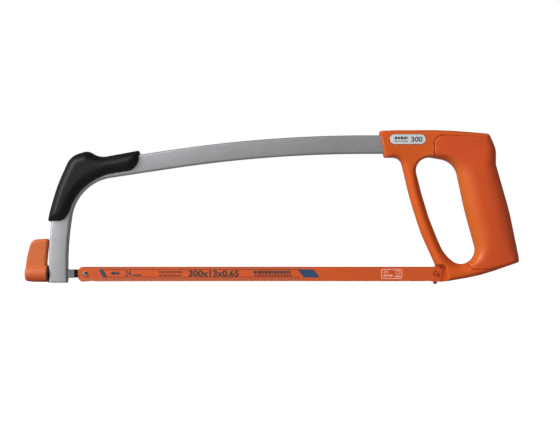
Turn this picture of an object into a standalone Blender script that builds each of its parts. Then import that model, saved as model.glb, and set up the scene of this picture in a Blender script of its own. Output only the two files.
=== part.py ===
"""Hacksaw: bent steel tube frame, cast handle with a soft grip, and a wing knob that tightens the blade.

X runs along the blade with the handle at +X, Z is up, and the printed side of the blade faces -Y.
Every length below is in millimetres and is turned into metres when a vertex is made.
"""
import math

import bmesh
import bpy
from mathutils import Vector

MM = 0.001
STEP_DEG = 11             # arc step of rounded outline corners

# frame tube
TUBE_DEEP = 15.5          # in the plane of the frame
TUBE_WIDE = 10.0          # across the frame
TUBE_WALL = 1.2
TUBE_CORNER = 2.4
LEG_X = -182.25           # centre line of the leg at its foot
LEG_FOOT = 2.6            # height of the tube's open lower end
LEG_STRAIGHT = 14.1
LEG_BOW = (269.0, 9.2)    # radius, degrees
BEND = (47.25, 72.24)
SHOULDER = 53.4           # straight run after the bend
BAR_BOW = (1136.0, 8.56)
BAR_IN_SOCKET = 41.3      # straight run that ends inside the handle

# blade and its line of pull
PULL_Z = 9.1
BLADE_X0, BLADE_X1 = -165.7, 146.0
BLADE_Z0, BLADE_Z1 = 2.1, 15.1
BLADE_THICK = 0.65
BLADE_CORNER = 4.6
HOLE_FRONT, HOLE_REAR = -159.6, 140.4
HOLE_R = 2.05
TOOTH_PITCH = 25.4 / 24
TOOTH_DEEP = 0.85
TEETH_X0, TEETH_X1 = -152.0, 131.0
SEAT_Y = 0.3

# pins
PIN_R = 1.65
PIN_BORE = 1.95
PIN_LEAN = 0.30           # the tight pins lean on the far side of the blade's holes
PIN_TIP = -3.0

# draw rod and tension knob
ROD_TALL, ROD_WIDE = 7.0, 6.4
ROD_X0, ROD_X1 = -188.2, -153.8
ROD_FLAT_X = -168.3
STUD_R = 3.0
STUD_X = -206.0
HUB_X0, HUB_X1 = -210.4, -191.3
HUB_R = 7.2
WASHER = (-191.0, -190.3, 7.6, 3.4)       # ends, outer radius, bore radius
NUT = (-201.4, -191.7, 4.9, 3.25)

# handle
CORE_HALF = 7.0
SOCKET_HALF = 9.5
NOSE_HALF = 8.5
BAR_HALF = 7.7
SLEEVE_HALF = 13.8
GRIP_HALF = 12.5
GAP = 0.3
BADGE_AT = (115.5, 123.5)
BADGE_SIZE = (15.2, 4.2)
LOCK_PINS = (104.0, 118.5)
LOCK_Z = 122.0
SOCKET_END = 124.4
LOWER_PIN = (140.6, 4.4)

# corner lists: x, z, corner radius, share of the edge rounding on the edge that starts here
HANDLE_RIM = [
    (91.9, 131.2, 1.6, 1), (105.5, 131.7, 20, 1), (148, 131.9, 200, 1), (185.8, 128.9, 4.4, 1),
    (191.7, 115.2, 20, 1), (191.7, 102.4, 9, 1), (203.1, 62.6, 130, 1), (211.3, 22.4, 2.5, 1),
    (211.4, 18.9, 2.2, 1), (178.2, 7.4, 150, 1), (147.3, 2.1, 15, 1), (135.6, 2.1, 3, 1),
    (135.6, 11.5, 2.5, 1), (140.2, 15.8, 1.5, 1), (127.3, 44.1, 130, 1), (118, 73.4, 180, 1),
    (109.9, 108.1, 7.7, 1), (96.2, 108.2, 0.8, 1),
]
SOCKET_BLOCK = [
    (91.9, 131.2, 1.6, 1), (105.5, 131.7, 20, 1), (148, 131.9, 200, 1), (185.8, 128.9, 3, 0.3),
    (186.6, 118, 1, 0.3), (142, 98, 3, 1), (113.2, 98, 3, 1), (109.9, 108.1, 7.7, 1),
    (96.2, 108.2, 0.8, 0.5),
]
NOSE_BLOCK = [
    (135.6, 2.1, 3, 0.6), (135.6, 11.5, 2.5, 0.6), (140.2, 15.8, 1.5, 1), (136.2, 25, 2, 1),
    (141, 33, 4, 0.3), (160, 27, 5, 0.3), (178, 26, 3, 0.3), (211, 24.5, 1.5, 0.5),
    (211.4, 18.9, 2.2, 1), (178.2, 7.4, 150, 1), (147.3, 2.1, 15, 1),
]
FINGER_HOLE = [
    (119.7, 110.9, 11, 1), (156.2, 104.8, 17, 1), (165.1, 63, 170, 1), (182.8, -0.9, 12, 1),
    (147.8, 25.2, 32, 1), (133.5, 57.3, 242, 1),
]
SLEEVE_RIM = [
    (138.1, 107.9, 1, 0.35), (138.1, 127.3, 8, 0.35), (186, 125.3, 2.5, 1),
    (191.7, 115.2, 12, 1), (191.7, 102.4, 12, 1), (203.1, 62.6, 130, 1), (211.2, 22.4, 1.5, 0.35),
    (198.6, 17.1, 30, 0.35), (183.2, 13.5, 20, 0.35), (171.3, 13.1, 3, 0.35),
    (166.8, 19.0, 1, 1), (172.2, 21.8, 4, 1), (174.4, 30.5, 8, 1), (165.1, 63, 170, 1),
    (156.2, 104.8, 15, 1),
]
SLEEVE_ROOM = [
    (137.8, 98, 1, 0), (137.8, 127.6, 8.3, 0), (216, 124.4, 1, 0), (216, 23.8, 1, 0),
    (198.7, 16.8, 30, 0), (183.2, 13.2, 20, 0), (171.2, 12.8, 3, 0), (160, 27.3, 1, 0),
]
GRIP_BAR = [
    (152, 128.4, 1, 0), (184, 127.8, 1, 1), (186, 104, 12, 1), (198, 60, 80, 1),
    (203.5, 17.2, 1, 0), (181, 11.8, 1, 1), (177.5, 38, 30, 1), (164.5, 90, 30, 1),
]
# the same bar run on past both ends of the sleeve, as the sleeve's bore
GRIP_BAR_LONG = [
    (149.5, 136, 1, 0), (183.3, 136, 1, 1), (186, 104, 12, 1), (198, 60, 80, 1),
    (204.9, 6, 1, 0), (181.77, 6, 1, 1), (177.5, 38, 30, 1), (164.5, 90, 30, 1),
]
BLADE_POCKET = [
    (120, -6, 1, 0), (120, 17.2, 1, 0), (148.2, 17.2, 5, 0), (151.2, -6, 1, 0),
]
FRONT_GRIP_RIM = [
    (-191.2, 53.6, 2, 1), (-189.3, 62.8, 18, 1), (-182.9, 84.8, 117, 1), (-171.7, 109.7, 16, 1),
    (-156.7, 114.3, 9, 1), (-146.9, 108.3, 16, 1), (-113.3, 114.5, 1.6, 1), (-112.6, 104.8, 7.5, 1),
    (-118.5, 96.4, 8.6, 1), (-127.5, 95.1, 20, 1), (-141.5, 92.9, 42, 1), (-158.2, 84.1, 46, 1),
    (-168.3, 70.4, 40, 1), (-171.4, 61.1, 20, 1), (-177.2, 53.4, 9, 1),
]
WING_RIM = [
    (-210.8, 9, 0.5, 0.3), (-209.2, 23, 60, 0.3), (-205.3, 38.2, 6.5, 1), (-190.1, 39.2, 2, 1),
    (-191.9, 20, 20, 1), (-192, 9, 0.5, 0.3),
]


def clear_scene():
    for obj in list(bpy.data.objects):
        bpy.data.objects.remove(obj, do_unlink=True)


def material(name, colour, metallic, roughness):
    mat = bpy.data.materials.new(name)
    mat.use_nodes = True
    shader = mat.node_tree.nodes["Principled BSDF"]
    shader.inputs["Base Color"].default_value = (*colour, 1.0)
    shader.inputs["Metallic"].default_value = metallic
    shader.inputs["Roughness"].default_value = roughness
    return mat


def add_object(name, bm, mat=None):
    """Turn a bmesh into a named object; with no material it is a helper for the booleans."""
    bmesh.ops.remove_doubles(bm, verts=bm.verts, dist=2e-6)
    bmesh.ops.recalc_face_normals(bm, faces=bm.faces)
    mesh = bpy.data.meshes.new(name)
    bm.to_mesh(mesh)
    bm.free()
    obj = bpy.data.objects.new(name, mesh)
    if mat is None:
        HELPERS.objects.link(obj)
        obj.display_type = "WIRE"
        obj.hide_render = True
    else:
        PARTS.objects.link(obj)
        mesh.materials.append(mat)
    return obj


def loft(name, rings, mat=None):
    """Skin a list of equal rings (millimetre vectors) and cap both ends."""
    bm = bmesh.new()
    rows = [[bm.verts.new(Vector(p) * MM) for p in ring] for ring in rings]
    count = len(rows[0])
    for low, high in zip(rows, rows[1:]):
        for i in range(count):
            j = (i + 1) % count
            bm.faces.new((low[i], low[j], high[j], high[i]))
    bm.faces.new(rows[0])
    bm.faces.new(rows[-1])
    return add_object(name, bm, mat)


def outline(corners, inset=0.0):
    """Rounded outline of a corner list, moved inwards by inset; the point count never changes."""
    count = len(corners)
    area = sum(corners[i][0] * corners[(i + 1) % count][1] - corners[(i + 1) % count][0] * corners[i][1]
               for i in range(count))
    turn = 1.0 if area > 0 else -1.0
    lines = []
    for i in range(count):
        x0, z0 = corners[i][:2]
        x1, z1 = corners[(i + 1) % count][:2]
        way = Vector((x1 - x0, z1 - z0)).normalized()
        inward = Vector((-way.y, way.x)) * turn
        lines.append((Vector((x0, z0)) + inward * inset * corners[i][3], way))
    points = []
    for i in range(count):
        start_a, way_a = lines[i - 1]
        start_b, way_b = lines[i]
        cross = way_a.x * way_b.y - way_a.y * way_b.x
        gap = start_b - start_a
        along = (gap.x * way_b.y - gap.y * way_b.x) / cross
        corner = start_a + way_a * along
        angle = math.atan2(cross, way_a.dot(way_b))
        convex = cross * turn > 0
        share = min(corners[i - 1][3], corners[i][3])
        radius = corners[i][2] - inset * share if convex else corners[i][2] + inset * share
        radius = max(radius, 0.15)
        back = radius * math.tan(abs(angle) / 2)
        first = corner - way_a * back
        side = Vector((-way_a.y, way_a.x)) * (1 if cross > 0 else -1)
        centre = first + side * radius
        steps = max(1, round(abs(angle) / math.radians(STEP_DEG)))
        spoke = first - centre
        for k in range(steps + 1):
            a = angle * k / steps
            points.append((centre.x + spoke.x * math.cos(a) - spoke.y * math.sin(a),
                           centre.y + spoke.x * math.sin(a) + spoke.y * math.cos(a)))
    return points


def slab(name, corners, half, edge, flat, steps, mat=None, grow=0.0):
    """Plate in the frame's plane whose rim is rounded over by edge towards both faces."""
    profile = []
    for k in range(steps + 1):
        a = math.pi / 2 * k / steps
        profile.append((half * (flat + (1 - flat) * math.sin(a)), edge * (1 - math.cos(a))))
    if edge == 0:
        profile = [(half, 0.0)]
    levels = [(-y, e) for y, e in reversed(profile)] + profile
    rings = []
    for y, e in levels:
        rings.append([(x, y, z) for x, z in outline(corners, e - grow)])
    if flat == 0:
        rings.pop(len(rings) // 2)
    return loft(name, rings, mat)


def prism(name, corners, y0, y1, mat=None, grow=0.0):
    rings = [[(x, y, z) for x, z in outline(corners, -grow)] for y in (y0, y1)]
    return loft(name, rings, mat)


def turned(name, profile, centre, steps, axis="x", mat=None):
    """Round part about an axis; profile is (distance along, radius)."""
    rings = []
    for along, radius in profile:
        ring = []
        for k in range(steps):
            a = 2 * math.pi * (k + 0.5) / steps
            c, s = radius * math.cos(a), radius * math.sin(a)
            if axis == "x":
                ring.append((along, centre[0] + c, centre[1] + s))
            elif axis == "y":
                ring.append((centre[0] + c, along, centre[1] + s))
            else:
                ring.append((centre[0] + c, centre[1] + s, along))
        rings.append(ring)
    return loft(name, rings, mat)


def block(name, x0, x1, y0, y1, z0, z1, mat=None):
    rings = [[(x, y0, z0), (x, y1, z0), (x, y1, z1), (x, y0, z1)] for x in (x0, x1)]
    return loft(name, rings, mat)


def combine(target, helper, operation):
    mod = target.modifiers.new(f"{operation.lower()} {helper.name}", "BOOLEAN")
    mod.operation = operation
    mod.solver = "EXACT"
    mod.object = helper


def cut(target, helper):
    combine(target, helper, "DIFFERENCE")


def join(target, helper):
    combine(target, helper, "UNION")


def soften(target, width, segments=1, angle=50):
    mod = target.modifiers.new("edge break", "BEVEL")
    mod.width = width * MM
    mod.segments = segments
    mod.limit_method = "ANGLE"
    mod.angle_limit = math.radians(angle)


def centre_line():
    """Stations of the frame tube: x, z, heading, from the foot of the leg to the handle."""
    x, z, heading = LEG_X, LEG_FOOT, math.pi / 2
    stations = [(x, z, heading)]
    moves = [("run", LEG_STRAIGHT, 0, 1), ("arc", *LEG_BOW, 3), ("arc", *BEND, 15),
             ("run", SHOULDER, 0, 1), ("arc", *BAR_BOW, 8), ("run", BAR_IN_SOCKET, 0, 1)]
    for kind, size, degrees, steps in moves:
        for k in range(steps):
            if kind == "run":
                x += size / steps * math.cos(heading)
                z += size / steps * math.sin(heading)
            else:
                step = math.radians(degrees) / steps
                chord = 2 * size * math.sin(step / 2)
                x += chord * math.cos(heading - step / 2)
                z += chord * math.sin(heading - step / 2)
                heading -= step
            stations.append((x, z, heading))
    return stations


def tube_section(deep, wide, corner, per_corner):
    """Rounded rectangle as (in-plane offset, y) points."""
    points = []
    for i, (su, sv) in enumerate(((1, 1), (-1, 1), (-1, -1), (1, -1))):
        for k in range(per_corner + 1):
            a = math.pi / 2 * (i + k / per_corner)
            points.append((su * (deep / 2 - corner) + corner * math.cos(a),
                           sv * (wide / 2 - corner) + corner * math.sin(a)))
    return points


def tube_sweep(name, deep, wide, corner, per_corner, overrun, mat=None):
    stations = centre_line()
    rings = []
    section = tube_section(deep, wide, corner, per_corner)
    last = len(stations) - 1
    for n, (x, z, heading) in enumerate(stations):
        push = -overrun if n == 0 else overrun if n == last else 0
        x += push * math.cos(heading)
        z += push * math.sin(heading)
        normal = (-math.sin(heading), math.cos(heading))
        rings.append([(x + u * normal[0], v, z + u * normal[1]) for u, v in section])
    return loft(name, rings, mat)


def build_frame():
    tube = tube_sweep("frame_tube", TUBE_DEEP, TUBE_WIDE, TUBE_CORNER, 4, 0, STEEL)
    bore = tube_sweep("tube bore", TUBE_DEEP - 2 * TUBE_WALL, TUBE_WIDE - 2 * TUBE_WALL,
                      TUBE_CORNER - TUBE_WALL, 2, 5)
    cut(tube, bore)
    window = block("rod window", -195, -170, -ROD_WIDE / 2 - GAP, ROD_WIDE / 2 + GAP,
                   PULL_Z - ROD_TALL / 2 - GAP, PULL_Z + ROD_TALL / 2 + GAP)
    cut(tube, window)
    for n, x in enumerate(LOCK_PINS):
        hole = turned(f"tube pin hole {n}", [(-12, PIN_BORE), (12, PIN_BORE)], (x, LOCK_Z), 16, "y")
        cut(tube, hole)

    inner = (TUBE_DEEP / 2 - TUBE_WALL - GAP, TUBE_WIDE / 2 - TUBE_WALL - GAP)
    base = TUBE_DEEP / 2, TUBE_WIDE / 2
    rings = []
    for (half_x, half_y), corner, z in ((base, 2.0, 1.5), (base, 2.4, 2.3), (inner, 0.9, 2.3),
                                        (inner, 0.9, 4.7), ((inner[0] - 0.5, inner[1] - 0.5), 0.6, 5.2)):
        section = tube_section(2 * half_x, 2 * half_y, corner, 3)
        rings.append([(LEG_X + u, v, z) for u, v in section])
    loft("leg_end_plug", rings, GREY_PLASTIC)

    grip = slab("front_grip", FRONT_GRIP_RIM, GRIP_HALF, 6.0, 0.35, 5, RUBBER)
    channel = tube_sweep("grip channel", TUBE_DEEP + 2 * GAP, TUBE_WIDE + 2 * GAP,
                         TUBE_CORNER + GAP, 3, 0)
    cut(grip, channel)


def pin_profile(low, high):
    """Round pin between two heights, with a chamfer at each end."""
    chamfer = 0.4
    return [(low, PIN_R - chamfer), (low + chamfer, PIN_R), (high - chamfer, PIN_R), (high, PIN_R - chamfer)]


def build_tensioner():
    rod = block("blade_holder", ROD_X0, ROD_X1, -ROD_WIDE / 2, ROD_WIDE / 2,
                PULL_Z - ROD_TALL / 2, PULL_Z + ROD_TALL / 2, ZINC)
    soften(rod, 0.6)
    cut(rod, block("rod flat", ROD_FLAT_X, -150, -8, SEAT_Y, 0, 20))
    profile = [(ROD_X0 + 2.5, STUD_R - 0.1), (-190.4, STUD_R - 0.1)]
    x = -190.9
    while x > STUD_X + 1.2:
        profile += [(x, STUD_R), (x - 0.5, STUD_R - 0.45)]
        x -= 1.0
    profile += [(STUD_X + 0.6, STUD_R - 0.1), (STUD_X, STUD_R - 0.7)]
    join(rod, turned("stud", profile, (0, PULL_Z), 20))
    pin_x = HOLE_FRONT - PIN_LEAN
    cut(rod, turned("front pin bore", [(-6, PIN_BORE), (6, PIN_BORE)], (pin_x, PULL_Z), 20, "y"))

    turned("front_blade_pin", pin_profile(PIN_TIP, 3.0), (pin_x, PULL_Z), 20, "y", DARK_STEEL)

    hub = turned("tension_knob",
                 [(HUB_X0, 4.9), (HUB_X0 + 0.3, 5.7), (HUB_X0 + 0.9, 6.3), (HUB_X0 + 1.9, 6.7),
                  (HUB_X0 + 6, 7.0), (HUB_X1 - 6, HUB_R), (HUB_X1 - 0.5, HUB_R), (HUB_X1, HUB_R - 0.4)],
                 (0, PULL_Z), 28, "x", ORANGE_KNOB)
    join(hub, slab("wing", WING_RIM, 3.4, 2.6, 0.25, 4))
    cut(hub, turned("nut pocket", [(NUT[0] - GAP, NUT[2] + GAP), (-185, NUT[2] + GAP)], (0, PULL_Z), 24))
    cut(hub, turned("stud room", [(HUB_X0 + 2.2, STUD_R + 0.4), (-185, STUD_R + 0.4)], (0, PULL_Z), 20))

    nut = turned("knob_nut", [(NUT[0], NUT[2] - 0.5), (NUT[0] + 0.5, NUT[2]), (NUT[1] - 0.5, NUT[2]),
                              (NUT[1], NUT[2] - 0.5)], (0, PULL_Z), 24, "x", BRASS)
    cut(nut, turned("nut bore", [(-206, NUT[3]), (-190, NUT[3])], (0, PULL_Z), 20))

    washer = turned("thrust_washer",
                    [(WASHER[0], WASHER[2] - 0.2), (WASHER[0] + 0.2, WASHER[2]),
                     (WASHER[1] - 0.2, WASHER[2]), (WASHER[1], WASHER[2] - 0.2)],
                    (0, PULL_Z), 28, "x", BLACK_PLASTIC)
    cut(washer, turned("washer bore", [(-196, WASHER[3]), (-188, WASHER[3])], (0, PULL_Z), 20))


def corner_arc(cx, cz, start):
    """Quarter circle of the blade's corner, from the given heading in degrees."""
    arc = []
    for k in range(7):
        a = math.radians(start + 15 * k)
        arc.append((cx + BLADE_CORNER * math.cos(a), cz + BLADE_CORNER * math.sin(a)))
    return arc


def build_blade():
    """Strip with rounded ends and a row of raked teeth along its lower edge."""
    left, right = BLADE_X0 + BLADE_CORNER, BLADE_X1 - BLADE_CORNER
    low, high = BLADE_Z0 + BLADE_CORNER, BLADE_Z1 - BLADE_CORNER
    points = []
    for cx, cz, start in ((right, high, 0), (left, high, 90), (left, low, 180)):
        points += corner_arc(cx, cz, start)
    x = TEETH_X0
    while x < TEETH_X1:
        points.append((x, BLADE_Z0 + TOOTH_DEEP))
        points.append((x + TOOTH_PITCH * 0.80, BLADE_Z0))
        points.append((x + TOOTH_PITCH * 0.97, BLADE_Z0 + TOOTH_DEEP * 0.96))
        x += TOOTH_PITCH
    points += corner_arc(right, low, 270)
    rings = [[(px, y, pz) for px, pz in points] for y in (-BLADE_THICK, 0.0)]
    blade = loft("saw_blade", rings, BLADE_PAINT)
    for x in (HOLE_FRONT, HOLE_REAR):
        cut(blade, turned(f"blade hole {x:.0f}", [(-3, HOLE_R), (3, HOLE_R)], (x, PULL_Z), 24, "y"))


def flared_hole():
    """Cutter for the finger opening; it widens towards both faces so that the rim is rounded."""
    edge = 3.0
    profile = []
    for k in range(4):
        a = math.pi / 2 * k / 3
        profile.append((CORE_HALF + 0.02 - edge + edge * math.sin(a), -edge * (1 - math.cos(a))))
    profile.append((CORE_HALF + 8, -edge - 6))
    levels = [(-y, e) for y, e in reversed(profile)] + profile
    rings = [[(x, y, z) for x, z in outline(FINGER_HOLE, e)] for y, e in levels]
    return loft("finger opening", rings)


def build_handle():
    core = slab("handle_core", HANDLE_RIM, CORE_HALF, 3.0, 0.57, 3, ORANGE_PAINT)
    join(core, slab("socket block", SOCKET_BLOCK, SOCKET_HALF, 3.2, 0.6, 3, grow=-0.2))
    join(core, slab("nose block", NOSE_BLOCK, NOSE_HALF, 2.6, 0.6, 3, grow=-0.35))
    cut(core, prism("sleeve room", SLEEVE_ROOM, -20, 20))
    cut(core, flared_hole())
    join(core, slab("grip bar", GRIP_BAR, BAR_HALF, 2.0, 0.7, 2))

    wide, deep = TUBE_WIDE / 2 + GAP, TUBE_DEEP / 2 + GAP
    bar_z = centre_line()[-1][1]
    section = tube_section(2 * deep, 2 * wide, TUBE_CORNER + GAP, 4)
    cut(core, loft("tube socket", [[(x, v, bar_z + u) for u, v in section] for x in (88, SOCKET_END)]))
    cut(core, prism("blade pocket", BLADE_POCKET, -20, SEAT_Y))
    rear_x = HOLE_REAR + PIN_LEAN
    cut(core, turned("rear pin bore", [(-2, PIN_BORE), (6.4, PIN_BORE)], (rear_x, PULL_Z), 20, "y"))
    cut(core, turned("lower pin bore", [(-3, PIN_BORE), (6.6, PIN_BORE)], LOWER_PIN, 20, "z"))
    for n, x in enumerate(LOCK_PINS):
        cut(core, turned(f"lock pin bore {n}", [(-12, PIN_BORE), (8.0, PIN_BORE)], (x, LOCK_Z), 16, "y"))
    pill = pill_corners(GAP)
    cut(core, prism("badge recess", pill, -12, -SOCKET_HALF + 0.8))

    sleeve = slab("grip_sleeve", SLEEVE_RIM, SLEEVE_HALF, 7.5, 0.06, 7, ORANGE_SOFT)
    cut(sleeve, slab("sleeve core room", GRIP_BAR_LONG, BAR_HALF + GAP, 2.0, 0.7, 2, grow=GAP))

    badge = prism("badge_plate", pill_corners(0), -SOCKET_HALF - 0.4, -SOCKET_HALF + 0.5, SILVER)
    soften(badge, 0.25)
    turned("rear_blade_pin", pin_profile(PIN_TIP, 6.1), (rear_x, PULL_Z), 20, "y", ORANGE_PAINT)
    turned("lower_blade_pin", pin_profile(0.0, 6.3), LOWER_PIN, 20, "z", ORANGE_PAINT)
    for n, x in enumerate(LOCK_PINS):
        name = ("tube_lock_pin_front", "tube_lock_pin_rear")[n]
        turned(name, [(-8.3, PIN_R - 0.3), (-8.0, PIN_R), (7.4, PIN_R), (7.7, PIN_R - 0.3)],
               (x, LOCK_Z), 16, "y", DARK_STEEL)


def pill_corners(extra):
    half_x, half_z = BADGE_SIZE[0] + extra, BADGE_SIZE[1] + extra
    x, z = BADGE_AT
    r = half_z * 0.98
    return [(x - half_x, z - half_z, r, 0), (x + half_x, z - half_z, r, 0),
            (x + half_x, z + half_z, r, 0), (x - half_x, z + half_z, r, 0)]


clear_scene()
PARTS = bpy.data.collections.new("Parts")
HELPERS = bpy.data.collections.new("Cutters")
bpy.context.scene.collection.children.link(PARTS)
bpy.context.scene.collection.children.link(HELPERS)

STEEL = material("satin_steel", (0.42, 0.42, 0.44), 1.0, 0.38)
ZINC = material("zinc_steel", (0.34, 0.34, 0.36), 1.0, 0.42)
DARK_STEEL = material("pin_steel", (0.2, 0.2, 0.21), 1.0, 0.35)
BRASS = material("brass", (0.62, 0.45, 0.18), 1.0, 0.3)
RUBBER = material("black_rubber", (0.018, 0.018, 0.02), 0.0, 0.62)
BLACK_PLASTIC = material("black_plastic", (0.02, 0.02, 0.022), 0.0, 0.5)
GREY_PLASTIC = material("grey_plastic", (0.32, 0.32, 0.34), 0.0, 0.5)
ORANGE_PAINT = material("orange_paint", (0.62, 0.1, 0.025), 0.0, 0.35)
ORANGE_SOFT = material("orange_soft_grip", (0.58, 0.095, 0.028), 0.0, 0.55)
ORANGE_KNOB = material("orange_knob", (0.62, 0.1, 0.025), 0.0, 0.45)
BLADE_PAINT = material("blade_paint", (0.66, 0.12, 0.03), 0.2, 0.35)
SILVER = material("silver_badge", (0.62, 0.62, 0.64), 1.0, 0.3)

build_frame()
build_tensioner()
build_blade()
build_handle()
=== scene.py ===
"""Looks of the hacksaw: finer meshes on the CAD bodies, materials, floor, light and camera.

Lengths are in millimetres until a mesh is made. X runs along the blade, -Y faces the camera and
Z is up.
"""
import math

import bmesh
import bpy
import numpy as np
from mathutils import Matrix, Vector
from mathutils.geometry import delaunay_2d_cdt


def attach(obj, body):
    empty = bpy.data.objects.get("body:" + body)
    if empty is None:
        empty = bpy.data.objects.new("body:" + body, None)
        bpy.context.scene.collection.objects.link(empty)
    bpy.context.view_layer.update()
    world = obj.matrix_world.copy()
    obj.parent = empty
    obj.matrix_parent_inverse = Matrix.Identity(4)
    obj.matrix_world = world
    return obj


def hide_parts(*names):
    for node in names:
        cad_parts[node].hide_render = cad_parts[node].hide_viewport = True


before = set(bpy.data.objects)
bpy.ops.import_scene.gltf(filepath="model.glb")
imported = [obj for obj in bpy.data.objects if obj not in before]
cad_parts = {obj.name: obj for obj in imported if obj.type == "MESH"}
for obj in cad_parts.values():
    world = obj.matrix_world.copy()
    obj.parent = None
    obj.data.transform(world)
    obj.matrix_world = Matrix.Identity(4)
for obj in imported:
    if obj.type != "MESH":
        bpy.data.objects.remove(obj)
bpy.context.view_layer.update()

MM = 0.001
MERGE = 2e-6                                      # points closer than this, in metres, are one
THIN = 2e-6                                       # thickness, in mm, that counts as none

# ---------------------------------------------------------------- sizes shared with the CAD model
TUBE_DEEP, TUBE_WIDE, TUBE_WALL, TUBE_CORNER = 15.5, 10.0, 1.2, 1.6
LEG_X, LEG_FOOT, LEG_STRAIGHT = -182.25, 2.6, 14.1
LEG_BOW, BEND, SHOULDER = (269.0, 9.2), (47.25, 72.24), 53.4
BAR_BOW, BAR_IN_SOCKET = (1136.0, 8.56), 41.3
PULL_Z = 9.1                                      # height of the rod, the knob and the blade's pins
ROD_FLAT_X = -168.3
HOLE_FRONT, HOLE_REAR, HOLE_R = -159.6, 140.4, 2.05
BLADE_X0, BLADE_X1, BLADE_Z0, BLADE_Z1 = -165.7, 146.0, 2.1, 15.1
BLADE_THICK, BLADE_CORNER = 0.65, 4.6
TEETH_X0, TEETH_X1, TOOTH_PITCH, TOOTH_DEEP = -152.0, 131.0, 25.4 / 24, 0.85
SEAT_Y = 0.3                                      # face that the blade's far side lies on
HUB_X0, HUB_X1, HUB_R = -210.4, -191.3, 7.2
WING_HALF, WING_EDGE, WING_FLAT = 3.4, 2.6, 0.25  # half thickness, rim rounding, share left square
NUT_X0, NUT_ROOM_R, ROD_ROOM_R = -201.4, 5.2, 3.4
LEG_THROUGH, WINDOW_WIDE, WINDOW_DEEP = (-195, -170), 3.5, 3.8      # the rod's window in the leg
GRIP_GAP, SOCKET_GAP = 0.25, 0.3                  # play of the tube in the grip and in the handle
SOCKET_X, SOCKET_HALF = (86, 124.4), 9.5
NOSE_Y, POCKET_LIP = -8.9, 1.4                    # near face of the nose, and the pocket's rounding
PIN_BORE_R, REAR_PIN_X, LOWER_PIN_AT = 1.95, HOLE_REAR + 0.3, (140.6, 4.4)
REAR_BORE_Y, LOWER_BORE_Z = (-2, 6.4), (-3, 6.6)
BADGE_AT = (115.5, 123.5)
BADGE_SIZE = (15.2, 4.2)
BADGE_PROUD, BADGE_GAP = 0.4, 0.35

# details that only the visual model has
SET_SWING, SET_WAVE, SET_HIGH = 0.2, 8.0, 2.0     # wavy set of the teeth: swing, length, height
SET_FADE = 3                                      # length over which the set dies out at the ends
PRINT_THICK = 0.03
FIGURE_SHARE = 0.7                                # height of a figure against the font's size
LOW_SHADE = (2.5 * MM, 13.0 * MM)                  # heights between which the painted shade near the floor fades out
LEFT_SHEEN = (-0.75, -0.05)                        # X of the normal between which the painted sheen on sides facing -X fades
FLAT_SHADE_FADE = (0.15 * MM, 0.3 * MM)                   # distance from the rod's flat over which its painted shade fades
PRINTED_END = (24.0 * MM, 32.0 * MM)              # X over which the blade's dull edges end
# heights over which the blade's paint gets dull, worn or bare
DULL_TOP = ((BLADE_Z1 - 1.7) * MM, (BLADE_Z1 - 1.3) * MM)
DULL_LOW = ((BLADE_Z0 + 2.9) * MM, (BLADE_Z0 + 3.3) * MM)
WORN_TOP = ((BLADE_Z1 - 0.9) * MM, (BLADE_Z1 - 0.5) * MM)
BARE_TIPS = ((BLADE_Z0 + 0.75) * MM, (BLADE_Z0 + 1.05) * MM)

# corner lists: x, z, corner radius, and the kind of the edge that starts here: 1 is a free rim,
# 2 the sloping rim of the finger opening, 3 a crisp rim, 0 a plain seam and 0.3 a faint one
CORE_RIM = [
    (91.9, 131.2, 1.6, 1), (105.5, 131.7, 20, 1), (148, 131.9, 200, 1), (185.8, 128.9, 4.4, 1),
    (187.35, 125.3, 0.3, 0.3), (138.0, 127.5, 8.2, 0), (138.0, 107.85, 0.3, 2),
    (119.7, 110.9, 11, 2), (133.5, 57.3, 242, 2), (147.8, 25.2, 33, 2), (160.4, 15.6, 12, 1),
    (166.9, 18.6, 0.3, 0.3), (171.2, 12.6, 3, 0.3), (183.2, 13.3, 20, 0.3), (198.7, 16.9, 30, 0.3),
    (211.3, 22.2, 0.3, 1), (211.4, 18.9, 2.2, 1), (178.2, 7.4, 150, 1), (147.3, 2.1, 15, 1),
    (135.6, 2.1, 3, 1), (135.6, 11.5, 2.5, 1), (140.2, 15.8, 1.5, 1), (127.3, 44.1, 130, 1),
    (118, 73.4, 180, 1), (109.9, 108.1, 7.7, 3), (96.2, 108.2, 0.8, 3),
]
SLEEVE_RIM = [
    (138.25, 107.85, 0.3, 0), (138.25, 127.35, 8, 0.3), (187.5, 125.15, 0.8, 1),
    (191.7, 115.2, 20, 1), (191.7, 102.4, 9, 1), (203.1, 62.6, 130, 1), (211.3, 22.5, 0.4, 0.3),
    (198.6, 17.05, 30, 0.3), (183.2, 13.4, 20, 0.3), (171.3, 12.75, 3, 0.3), (167.05, 18.7, 0.3, 1),
    (170.9, 20.4, 11, 1), (174.6, 28.4, 12, 1), (165.1, 63, 170, 1), (156.2, 104.8, 17, 1),
]
FRONT_GRIP_RIM = [
    (-191.2, 53.6, 2, 1), (-189.3, 62.8, 18, 1), (-182.9, 84.8, 117, 1), (-171.7, 109.7, 16, 1),
    (-156.7, 114.3, 9, 1), (-146.9, 108.3, 16, 1), (-113.3, 114.5, 1.6, 1), (-110.8, 105.3, 13, 1),
    (-118.5, 96.4, 8.6, 1), (-127.5, 95.1, 20, 1), (-141.5, 92.9, 42, 1), (-158.2, 84.1, 46, 1),
    (-168.3, 70.4, 40, 1), (-171.4, 61.1, 20, 1), (-177.2, 53.4, 9, 1),
]
WING_RIM = [
    (-210.8, 9, 0.5, 0.3), (-209.2, 23, 60, 0.3), (-205.3, 38.2, 6.5, 1), (-190.1, 39.2, 2, 1),
    (-191.9, 20, 20, 1), (-192, 9, 0.5, 0.3),
]

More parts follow.
